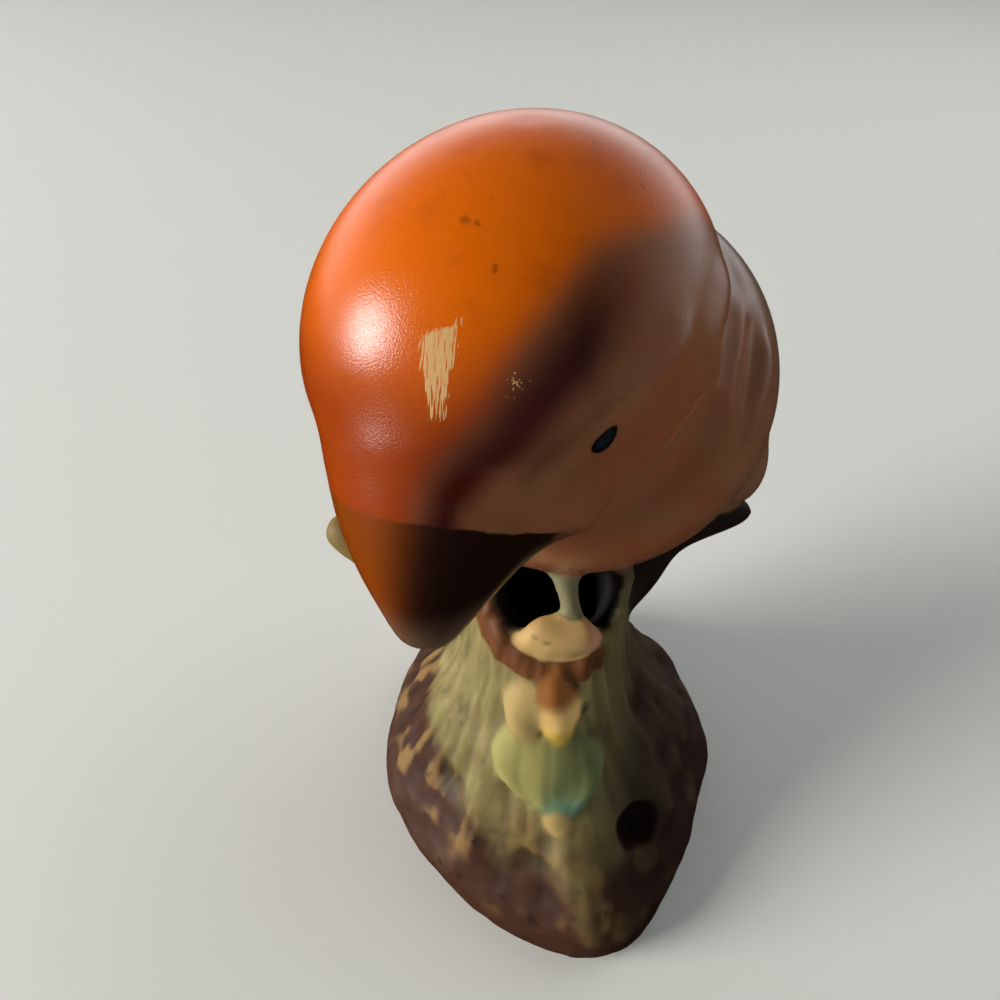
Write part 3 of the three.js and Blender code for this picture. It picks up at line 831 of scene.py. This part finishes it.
class Paint(Nodes):
    """The nodes of one material."""

    def __init__(self, name):
        self.material = bpy.data.materials.new(name)
        self.material.use_nodes = True
        super().__init__(self.material.node_tree)
        self.shader = next(node for node in self.nodes if node.type == "BSDF_PRINCIPLED")
        self.place = self.nodes.new("ShaderNodeTexCoord").outputs["Object"]

    def vector(self, operation, first, second=(0, 0, 0)):
        node = self.nodes.new("ShaderNodeVectorMath")
        node.operation = operation
        self.feed(node.inputs[0], first)
        self.feed(node.inputs[1], tuple(second))
        return node.outputs["Value" if operation in ("DOT_PRODUCT", "LENGTH", "DISTANCE") else "Vector"]

    def noise(self, scale, detail=3.0, rough=0.5, vector=None, stretch=None):
        node = self.nodes.new("ShaderNodeTexNoise")
        where = vector or self.place
        if stretch:
            mapping = self.nodes.new("ShaderNodeMapping")
            mapping.vector_type = "POINT"
            mapping.inputs["Scale"].default_value = stretch
            self.links.new(where, mapping.inputs["Vector"])
            where = mapping.outputs[0]
        self.links.new(where, node.inputs["Vector"])
        node.inputs["Scale"].default_value = scale
        node.inputs["Detail"].default_value = detail
        node.inputs["Roughness"].default_value = rough
        return node.outputs[0]

    def mask(self, name):
        node = self.nodes.new("ShaderNodeAttribute")
        node.attribute_name = name
        return node.outputs["Fac"]

    def over(self, under, colour, amount):
        """One colour painted over another by an amount."""
        node = self.nodes.new("ShaderNodeMix")
        node.data_type = "RGBA"
        self.feed(node.inputs[0], amount)
        self.feed(node.inputs[6], under)
        self.feed(node.inputs[7], colour)
        return node.outputs[2]

    def joined(self, first, second, third=0.0):
        node = self.nodes.new("ShaderNodeCombineXYZ")
        for socket, value in zip(node.inputs, (first, second, third)):
            self.feed(socket, value)
        return node.outputs[0]

    def distance_from(self, point):
        return self.vector("LENGTH", self.vector("SUBTRACT", self.place, point))

    def measured(self, point, direction):
        """How far along a direction each place lies from a point."""
        return self.vector("DOT_PRODUCT", self.vector("SUBTRACT", self.place, point), direction)

    def bump(self, height, distance):
        node = self.nodes.new("ShaderNodeBump")
        node.inputs["Distance"].default_value = distance
        node.inputs["Strength"].default_value = 1.0
        self.links.new(height, node.inputs["Height"])
        return node.outputs[0]


def srgb(red, green, blue):
    """A colour as it looks on a screen, from 0 to 255, as the light that it reflects."""
    shares = [level / 255 for level in (red, green, blue)]
    return tuple(((share + 0.055) / 1.055) ** 2.4 if share > 0.04 else share / 12.92 for share in shares)


ORANGE = srgb(214, 98, 5)
RED_ORANGE = srgb(140, 53, 3)
SIDE_BROWN = srgb(140, 92, 62)
SIDE_RED = srgb(142, 82, 52)
SIDE_SHEEN_GREY = srgb(128, 104, 88)
SHADE_MAROON = srgb(52, 3, 1)
BEAK_SHADE_DARK = srgb(34, 15, 7)
BEAK_LIT_ORANGE = srgb(120, 54, 4)
BEAK_SHEEN = srgb(112, 88, 68)
EYE_BLUE = srgb(26, 34, 42)
EYE_BLACK = srgb(16, 14, 14)
SCUFF_CREAM = srgb(208, 170, 116)
MARK_BROWN = srgb(70, 34, 20)
OLIVE = srgb(126, 113, 68)
OLIVE_PALE = srgb(144, 131, 84)
OLIVE_DARK = srgb(84, 78, 44)
OLIVE_SHADE_GREY = srgb(84, 78, 50)
ARM_SHADOW_BROWN = srgb(52, 40, 28)
STUB_TAN = srgb(120, 96, 46)
BASE_BROWN = srgb(66, 36, 18)
BASE_DARK = srgb(34, 16, 8)
BASE_TAN = srgb(126, 96, 52)
RIM_ORANGE = srgb(98, 56, 20)
HOLLOW_SHADE_BLACK = srgb(14, 9, 7)
FOOT_BEIGE = srgb(184, 150, 94)
FOOT_PINK = srgb(186, 134, 98)
LEG_CREAM = srgb(122, 116, 86)
BUD_TAN = srgb(166, 142, 88)
BUD_RUST = srgb(146, 88, 36)
BUD_PINK = srgb(220, 180, 110)
BUD_YELLOW = srgb(196, 160, 56)
LEAF_YELLOW = srgb(152, 146, 84)
LEAF_GREEN = srgb(96, 106, 64)
LEAF_TEAL = srgb(84, 130, 106)
BARE_CLAY = srgb(214, 204, 184)

EYE_PLACE = in_mm(0, -34.4, 165.5)
EYE_LONG = Vector((2.2, 1.25, 3.7)).normalized()
EYE_NORMAL = Vector((0.47, -0.88, 0.07)).normalized()
EYE_HALF_LENGTH, EYE_HALF_WIDTH = 2.5 * MM, 1.85 * MM
FAR_EYE_PLACE = in_mm(-43.4, -10, 165)
FAR_EYE_LONG = Vector((0.2, 0.6, 0.7)).normalized()
FAR_EYE_NORMAL = Vector((-0.97, -0.2, 0.1)).normalized()


def eye_distance(paint, place, long_way, normal):
    """1 at the edge of a painted oval eye and less inside it."""
    across = long_way.cross(normal).normalized()
    length = paint.math("DIVIDE", paint.measured(place, long_way), EYE_HALF_LENGTH)
    width = paint.math("DIVIDE", paint.measured(place, across), EYE_HALF_WIDTH)
    flat = paint.vector("LENGTH", paint.joined(length, width))
    return paint.math("ADD", flat, paint.ramp(paint.distance_from(place), 0.006, 0.008, 0.0, 9.0))


def painted_eyes(paint, colour):
    for eye in ((EYE_PLACE, EYE_LONG, EYE_NORMAL), (FAR_EYE_PLACE, FAR_EYE_LONG, FAR_EYE_NORMAL)):
        reach = eye_distance(paint, *eye)
        colour = paint.over(colour, EYE_BLACK, paint.ramp(reach, 0.9, 1.08, 1.0, 0.0))
        colour = paint.over(colour, EYE_BLUE, paint.ramp(reach, 0.45, 0.85, 0.9, 0.0))
    return colour


SCUFF_MIDDLE = in_mm(-22.4, -34.2, 176.5)
SMALL_SCUFF = in_mm(-12.8, -35.3, 176.1)
SCUFF_DOWN = Vector((-0.07, -0.44, -0.89)).normalized()
SCUFF_ACROSS = Vector((0.95, -0.29, 0.07)).normalized()


def scuff_marks(paint):
    """The pale scrape on the forehead, worn in strokes, and the small scuff beside it."""
    down = paint.measured(SCUFF_MIDDLE, SCUFF_DOWN)
    across = paint.measured(SCUFF_MIDDLE, SCUFF_ACROSS)
    along_strokes = paint.joined(paint.product(across, 4200), paint.product(down, 330))
    strokes = paint.noise(1.0, 2, vector=along_strokes)
    along_edges = paint.joined(paint.product(across, 1500), paint.product(down, 360), 4.0)
    ragged = paint.noise(1.0, 3, vector=along_edges)
    uneven = paint.product(paint.math("SUBTRACT", ragged, 0.5), 0.003)
    half_width = paint.ramp(down, -0.005, 0.004, 0.0025, 0.0014)
    side = paint.math("SUBTRACT", paint.math("ADD", paint.math("ABSOLUTE", across), uneven), half_width)
    slant = paint.math("ADD", down, paint.product(across, paint.ramp(down, -0.004, 0.0, 0.35, 0.0)))
    end = paint.math("ADD", paint.math("ABSOLUTE", slant), paint.product(uneven, 1.1))
    inside = paint.ramp(side, -0.0006, 0.0004, 1.0, 0.0)
    inside = paint.product(inside, paint.ramp(end, 0.005, 0.0066, 1.0, 0.0))
    thinning = paint.ramp(down, -0.001, 0.004, 0.38, 0.29)
    worn = paint.ramp(paint.math("ADD", strokes, paint.product(inside, thinning)), 0.72, 0.84)
    near = paint.ramp(paint.distance_from(SCUFF_MIDDLE), 0.0085, 0.009, 1.0, 0.0)
    dots = paint.noise(2600, 1)
    small = paint.ramp(paint.distance_from(SMALL_SCUFF), 0.0002, 0.0026, 0.16, 0.0)
    scattered = paint.ramp(paint.math("ADD", dots, small), 0.74, 0.8)
    scattered = paint.product(scattered, paint.ramp(small, 0.0, 0.05))
    return paint.math("MAXIMUM", paint.product(worn, near, paint.ramp(inside, 0.0, 0.3)), scattered)


# Places and sizes in millimetres
SMUDGES = [
    ((-18.8, -21.8, 190.4), 1.1), ((-0.6, 0.8, 194.2), 0.7), ((3.6, -12.8, 191), 0.6),
    ((-15.2, -27.4, 186.9), 0.5), ((-17.4, -22.4, 190.2), 0.7),
]


def dark_marks(paint):
    """Small smudges and specks on the crown."""
    ragged = paint.product(paint.math("SUBTRACT", paint.noise(900, 3), 0.5), 0.0026)
    marks = 0.0
    for point, size in SMUDGES:
        reach = paint.math("ADD", paint.distance_from(in_mm(*point)), ragged)
        mark = paint.ramp(reach, 0.0, size * MM, 0.5, 0.0)
        marks = paint.math("MAXIMUM", marks, mark)
    specks = paint.ramp(paint.noise(700, 1), 0.79, 0.83, 0.0, 0.6)
    return paint.math("MAXIMUM", marks, specks)


# The painted line over the beak: its height, the middle of its arch and how widely it bends
LINE_HEIGHT = 158 * MM
LINE_MIDDLE = -26 * MM
LINE_BEND = 52 * MM


def bird_colour(paint, where, broad, patchy):
    brown = paint.over(SIDE_BROWN, SIDE_RED, paint.ramp(broad, 0.35, 0.65))
    # the side brown grows greyer towards the back, partly a painted sheen
    brown = paint.over(brown, SIDE_SHEEN_GREY, paint.ramp(where[1], -0.022, 0.02, 0.0, 0.75))
    wander = paint.product(paint.math("SUBTRACT", broad, 0.5), 0.16)
    crown = paint.math("ADD", paint.mask("crown"), paint.product(wander, paint.mask("head")))
    crown = paint.ramp(crown, 0.06, 0.94)
    low_face = paint.ramp(where[2], 0.166, 0.186, 1.0, 0.0)
    reddened = paint.math("MAXIMUM", low_face, paint.ramp(patchy, 0.5, 0.8, 0.0, 0.3))
    orange = paint.over(ORANGE, RED_ORANGE, reddened)
    colour = paint.over(brown, orange, crown)
    # painted shade: a dark maroon band where the orange crown turns away from the side light, between the
    # orange and the brown cheek
    colour = paint.over(colour, SHADE_MAROON, paint.product(paint.mask("shade_streak"), 0.98))
    colour = paint.over(colour, MARK_BROWN, paint.product(dark_marks(paint), paint.mask("head")))

    # the beak's darker glaze, up to a crisp painted line
    ahead = paint.measured(SKULL_MIDDLE, HEAD_FORWARD)
    lateral = paint.measured(SKULL_MIDDLE, HEAD_ASIDE)
    from_middle = paint.math("SUBTRACT", where[0], LINE_MIDDLE)
    line = paint.math("SUBTRACT", LINE_HEIGHT, paint.product(from_middle, from_middle, 1 / LINE_BEND))
    line = paint.math("ADD", line, paint.product(paint.math("SUBTRACT", paint.noise(260, 3), 0.5), 0.0014))
    below = paint.ramp(paint.math("SUBTRACT", line, where[2]), -0.0002, 0.0004)
    beak = paint.product(below, paint.ramp(ahead, 0.023, 0.026), paint.mask("head"))
    # the beak's glaze painted orange on its left half where the side light falls, and dark on its right half
    # as painted shade
    beak_colour = paint.over(BEAK_LIT_ORANGE, BEAK_SHADE_DARK, paint.ramp(lateral, -0.0085, 0.002, 1.0, 0.0))
    # a pale painted sheen along the beak's lower part
    beak_colour = paint.over(beak_colour, BEAK_SHEEN, paint.ramp(where[2], 0.145, 0.135, 0.0, 0.8))
    colour = paint.over(colour, beak_colour, beak)

    colour = painted_eyes(paint, colour)
    return paint.over(colour, SCUFF_CREAM, paint.product(scuff_marks(paint), 0.9))


# Places and sizes of the spots on the base and under the rim, in millimetres
HOLE_LIP = in_mm(26, -43.5, 22.4)
TAN_SPOTS = [((5, -46, 29), 5), ((8, -53, 21), 6), ((10, -60, 14), 5)]
# painted shade: dark spots in the crease beside the right bud under the rim, and down the valley on the
# base's right side
SHADE_SPOTS = [
    ((2.5, -23, 80), 3), ((5, -24.3, 70.4), 4), ((6.5, -27, 60.8), 3.5),
    ((23, -14, 56), 9), ((32, -19, 36), 10), ((38, -23, 24), 10),
]


def spot(paint, under, colour, point, size, strength):
    """A soft round spot of colour."""
    amount = paint.ramp(paint.distance_from(in_mm(*point)), 0, size * MM, strength, 0.0)
    return paint.over(under, colour, amount)


def wood_colour(paint, where, broad, patchy):
    streaks = paint.noise(240, 4, stretch=(1, 1, 0.1))
    colour = paint.over(OLIVE, OLIVE_PALE, paint.ramp(streaks, 0.5, 0.75))
    colour = paint.over(colour, OLIVE_DARK, paint.ramp(streaks, 0.5, 0.28, 0.0, 0.7))
    # painted shade: the stump greys and darkens towards its right side, away from the light
    colour = paint.over(colour, OLIVE_SHADE_GREY, paint.ramp(where[0], 0.002, 0.02, 0.0, 0.75))
    # painted shade and pooled glaze darken the creases
    colour = paint.over(colour, OLIVE_DARK, paint.product(paint.mask("crease"), 0.7))
    # the right branch painted dark brown as the body's shadow on it
    colour = paint.over(colour, ARM_SHADOW_BROWN, paint.mask("branch_right"))
    colour = paint.over(colour, STUB_TAN, paint.product(paint.mask("branch_left"), 0.8))

    # brown and tan rock
    uneven = paint.product(paint.math("SUBTRACT", broad, 0.5), 0.034)
    leftward = paint.product(paint.math("MINIMUM", paint.math("ADD", where[0], 0.016), 0.0), 0.95)
    height = paint.math("ADD", paint.math("ADD", where[2], uneven), leftward)
    low = paint.ramp(height, 0.018, 0.04, 1.0, 0.0)
    ridges = paint.ramp(paint.math("ADD", paint.mask("lifted"), paint.product(patchy, 0.25)), 0.66, 0.95)
    ridges = paint.product(ridges, paint.ramp(where[2], 0.006, 0.018))
    base = paint.over(BASE_BROWN, BASE_TAN, ridges)
    # random dark patches, and painted shade with pooled glaze in the creases
    darkened = paint.math("MAXIMUM", paint.mask("crease"), paint.ramp(patchy, 0.42, 0.25))
    base = paint.over(base, BASE_DARK, darkened)
    colour = paint.over(colour, base, low)

    # the hole under the root, painted dark as the shade inside it, a tan lip below it painted bright as a
    # highlight, the tan front root, and painted shade down the valley beside it and on the right side
    hole = paint.ramp(paint.distance_from(on_bark(-57, 0.29, -1.5)), 0.0068, 0.0085, 1.0, 0.0)
    colour = paint.over(colour, BASE_DARK, hole)
    highlight_lip = paint.ramp(paint.distance_from(HOLE_LIP), 0.003, 0.0055, 0.9, 0.0)
    colour = paint.over(colour, BASE_TAN, highlight_lip)
    for point, size in TAN_SPOTS:
        colour = spot(paint, colour, BASE_TAN, point, size, 0.8)
    for point, size in SHADE_SPOTS:
        colour = spot(paint, colour, BASE_DARK, point, size, 0.95)
    # painted shade over the base's right side, away from the light
    colour = paint.over(colour, BASE_DARK, paint.product(paint.ramp(where[0], 0.01, 0.025), 0.8))
    uneven = paint.product(paint.math("SUBTRACT", patchy, 0.5), 0.5)
    rim = paint.ramp(paint.math("ADD", paint.mask("rim"), uneven), 0.2, 0.5)
    return paint.over(colour, RIM_ORANGE, paint.product(rim, paint.ramp(paint.mask("rim"), 0.02, 0.2)))


def foliage_colour(paint, where, patchy, colour):
    leaf = paint.over(LEAF_YELLOW, LEAF_GREEN, paint.ramp(where[0], -0.007, 0.003))
    low = paint.ramp(where[2], 0.041, 0.053, 1.0, 0.0)
    leaf = paint.over(leaf, LEAF_TEAL, paint.product(low, paint.ramp(where[0], -0.006, -0.001)))
    # painted shade and pooled glaze darken the leaves' creases
    leaf = paint.over(leaf, OLIVE_DARK, paint.product(paint.mask("crease"), 0.5))
    thin = paint.ramp(patchy, 0.3, 0.6, 0.7, 0.95)
    colour = paint.over(colour, leaf, paint.product(paint.mask("leaf"), thin))
    colour = paint.over(colour, BUD_TAN, paint.mask("bud_left"))
    bud = paint.over(BUD_RUST, BUD_PINK, paint.ramp(where[2], 0.079, 0.073))
    bud = paint.over(bud, BUD_YELLOW, paint.ramp(where[2], 0.07, 0.064))
    colour = paint.over(colour, bud, paint.mask("bud_right"))
    return paint.over(colour, BUD_TAN, paint.mask("small_bud"))


GRAIN_SCALE = 3400
GRAIN_DEPTH = 0.04 * MM


def glaze_material():
    paint = Paint("painted_glaze")
    where = paint.split(paint.place)
    broad = paint.noise(60, 3)
    patchy = paint.noise(180, 4)
    colour = wood_colour(paint, where, broad, patchy)
    colour = foliage_colour(paint, where, patchy, colour)
    foot = paint.over(FOOT_BEIGE, FOOT_PINK, paint.ramp(where[0], 0.003, 0.008))
    # the hollow painted near-black as the shade inside it
    colour = paint.over(colour, HOLLOW_SHADE_BLACK, paint.mask("hollow"))
    colour = paint.over(colour, foot, paint.ramp(paint.mask("toe"), 0.55, 0.9))
    colour = paint.over(colour, LEG_CREAM, paint.mask("leg"))
    colour = paint.over(colour, bird_colour(paint, where, broad, patchy), paint.mask("bird"))
    colour = paint.over(colour, BARE_CLAY, paint.ramp(where[2], 0.0002, 0.0007, 1.0, 0.0))
    paint.feed(paint.shader.inputs["Base Color"], colour)

    # satin on the bird, duller on the stump and base, and dull inside the hollow
    satin = paint.ramp(patchy, 0.3, 0.7, 0.21, 0.26)
    satin = paint.math("MAXIMUM", satin, paint.ramp(paint.mask("bird"), 0.2, 0.8, 0.62, 0.0))
    satin = paint.math("MAXIMUM", satin, paint.product(paint.mask("hollow"), 0.9))
    paint.feed(paint.shader.inputs["Roughness"], satin)
    paint.shader.inputs["Specular IOR Level"].default_value = 0.18
    grain = paint.noise(GRAIN_SCALE, 2)
    paint.feed(paint.shader.inputs["Normal"], paint.bump(grain, GRAIN_DEPTH))
    return paint.material


casting.data.materials.clear()
casting.data.materials.append(glaze_material())
casting.data.shade_smooth()
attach(casting, "root")
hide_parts(NODE)


# Floor, light and camera

def stage_floor():
    bpy.ops.mesh.primitive_plane_add(size=40, location=(0, 0, 0))
    floor = bpy.context.object
    floor.name = "floor"
    paint = Paint("pale_floor")
    paint.shader.inputs["Base Color"].default_value = (0.78, 0.79, 0.75, 1)
    paint.shader.inputs["Roughness"].default_value = 0.7
    floor.data.materials.append(paint.material)
    floor.visible_glossy = False


def soft_light(name, direction, distance, size, power, colour):
    data = bpy.data.lights.new(name, "AREA")
    data.shape = "DISK"
    data.size = size
    data.energy = power
    data.color = colour
    lamp = bpy.data.objects.new(name, data)
    aim = Vector((0, 0, 0.11))
    lamp.location = aim + Vector(direction).normalized() * distance
    lamp.rotation_euler = (aim - lamp.location).to_track_quat("-Z", "Y").to_euler()
    bpy.context.collection.objects.link(lamp)
    return lamp


def studio():
    """Soft light from all round that dims upwards and grows towards the back, and three soft lamps."""
    world = bpy.data.worlds.new("studio")
    bpy.context.scene.world = world
    world.use_nodes = True
    air = Nodes(world.node_tree)
    facing = air.split(air.nodes.new("ShaderNodeTexCoord").outputs["Generated"])
    dimmer_above = air.ramp(facing[2], 0.1, 0.7, 0.9, 0.05)
    brighter_behind = air.ramp(facing[1], -0.3, 0.6, 0.4, 2.2, bend="LINEAR")
    none_below = air.ramp(facing[2], -0.06, -0.015, bend="LINEAR")
    background = air.nodes["Background"]
    air.feed(background.inputs["Strength"], air.product(dimmer_above, brighter_behind, none_below))
    background.inputs["Color"].default_value = (0.96, 0.98, 1, 1)
    left, above = (-0.93, -0.2, 0.31), (0.85, 0.45, 0.8)
    soft_light("side_light", left, 3, 1.5, 118, (1, 0.97, 0.91)).visible_glossy = False
    soft_light("side_shine", left, 3, 1.3, 230, (1, 1, 1)).visible_diffuse = False
    soft_light("top_light", above, 1.3, 1.2, 4.2, (0.97, 0.99, 1)).visible_glossy = False


CAMERA_LENS = 24.84
CAMERA_PLACE = (-0.0146, -0.1044, 0.227)
CAMERA_TILT = 44  # degrees up from straight down


def photo_camera():
    data = bpy.data.cameras.new("camera")
    data.sensor_width = 36
    data.lens = CAMERA_LENS
    data.clip_start = 0.005
    camera = bpy.data.objects.new("camera", data)
    camera.location = CAMERA_PLACE
    camera.rotation_euler = (math.radians(CAMERA_TILT), 0, 0)
    bpy.context.collection.objects.link(camera)
    bpy.context.scene.camera = camera


stage_floor()
studio()
photo_camera()
bpy.context.scene.view_settings.view_transform = "Standard"
